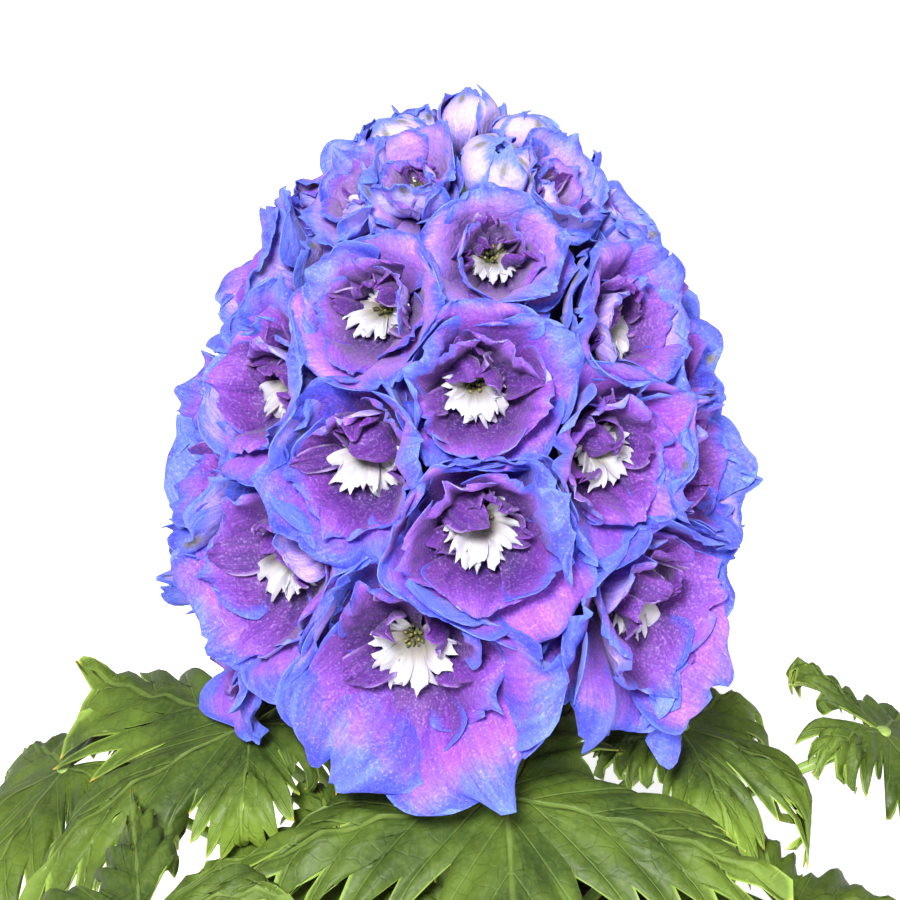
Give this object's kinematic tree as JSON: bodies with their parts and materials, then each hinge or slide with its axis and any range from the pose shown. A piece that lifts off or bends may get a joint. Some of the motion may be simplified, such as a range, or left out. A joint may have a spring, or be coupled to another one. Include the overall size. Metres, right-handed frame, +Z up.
{
  "type": "delphinium plant",
  "caption": "Dwarf double-flowered delphinium in a nursery pot: dense ovoid raceme of blue-violet florets with white centres over cut palmate leaves.",
  "frame": {"origin": "centre of the pot's underside, on the surface the pot stands on", "axes": "+Z up along the flower stem, -Y towards the plant's front, +X to the plant's right as seen from the front"},
  "size_m": [0.3335, 0.2899, 0.3648],
  "materials": {
    "pot": "moulded dark nursery pot plastic, satin",
    "potting_mix": null,
    "stem": null,
    "leaf": null,
    "petal": null,
    "bud": null
  },
  "bodies": {
    "root": {"pot": "pot", "potting_mix": "potting_mix", "flower_stem": "stem", "stem_leaf_1": "leaf", "stem_leaf_2": "leaf", "stem_leaf_3": "leaf", "stem_leaf_4": "leaf", "stem_leaf_5": "leaf", "stem_leaf_6": "leaf", "stem_leaf_7": "leaf", "basal_leaf_1": "leaf", "basal_leaf_2": "leaf", "basal_leaf_3": "leaf", "basal_leaf_4": "leaf", "basal_leaf_5": "leaf", "basal_leaf_6": "leaf", "basal_leaf_7": "leaf", "basal_leaf_8": "leaf", "floret_01": "petal", "floret_02": "petal", "floret_03": "petal", "floret_04": "petal", "floret_05": "petal", "floret_06": "petal", "floret_07": "petal", "floret_08": "petal", "floret_09": "petal", "floret_10": "petal", "floret_11": "petal", "floret_12": "petal", "floret_13": "petal", "floret_14": "petal", "floret_15": "petal", "floret_16": "petal", "floret_17": "petal", "floret_18": "petal", "floret_19": "petal", "floret_20": "petal", "floret_21": "petal", "floret_22": "petal", "floret_23": "petal", "floret_24": "petal", "floret_25": "petal", "floret_26": "petal", "floret_27": "petal", "floret_28": "petal", "floret_29": "petal", "floret_30": "petal", "floret_31": "petal", "floret_32": "petal", "floret_33": "petal", "floret_34": "petal", "floret_35": "petal", "floret_36": "petal", "floret_37": "petal", "floret_38": "petal", "bud_39": "bud", "bud_40": "bud", "bud_41": "bud", "bud_42": "bud"}
  },
  "joints": []
}
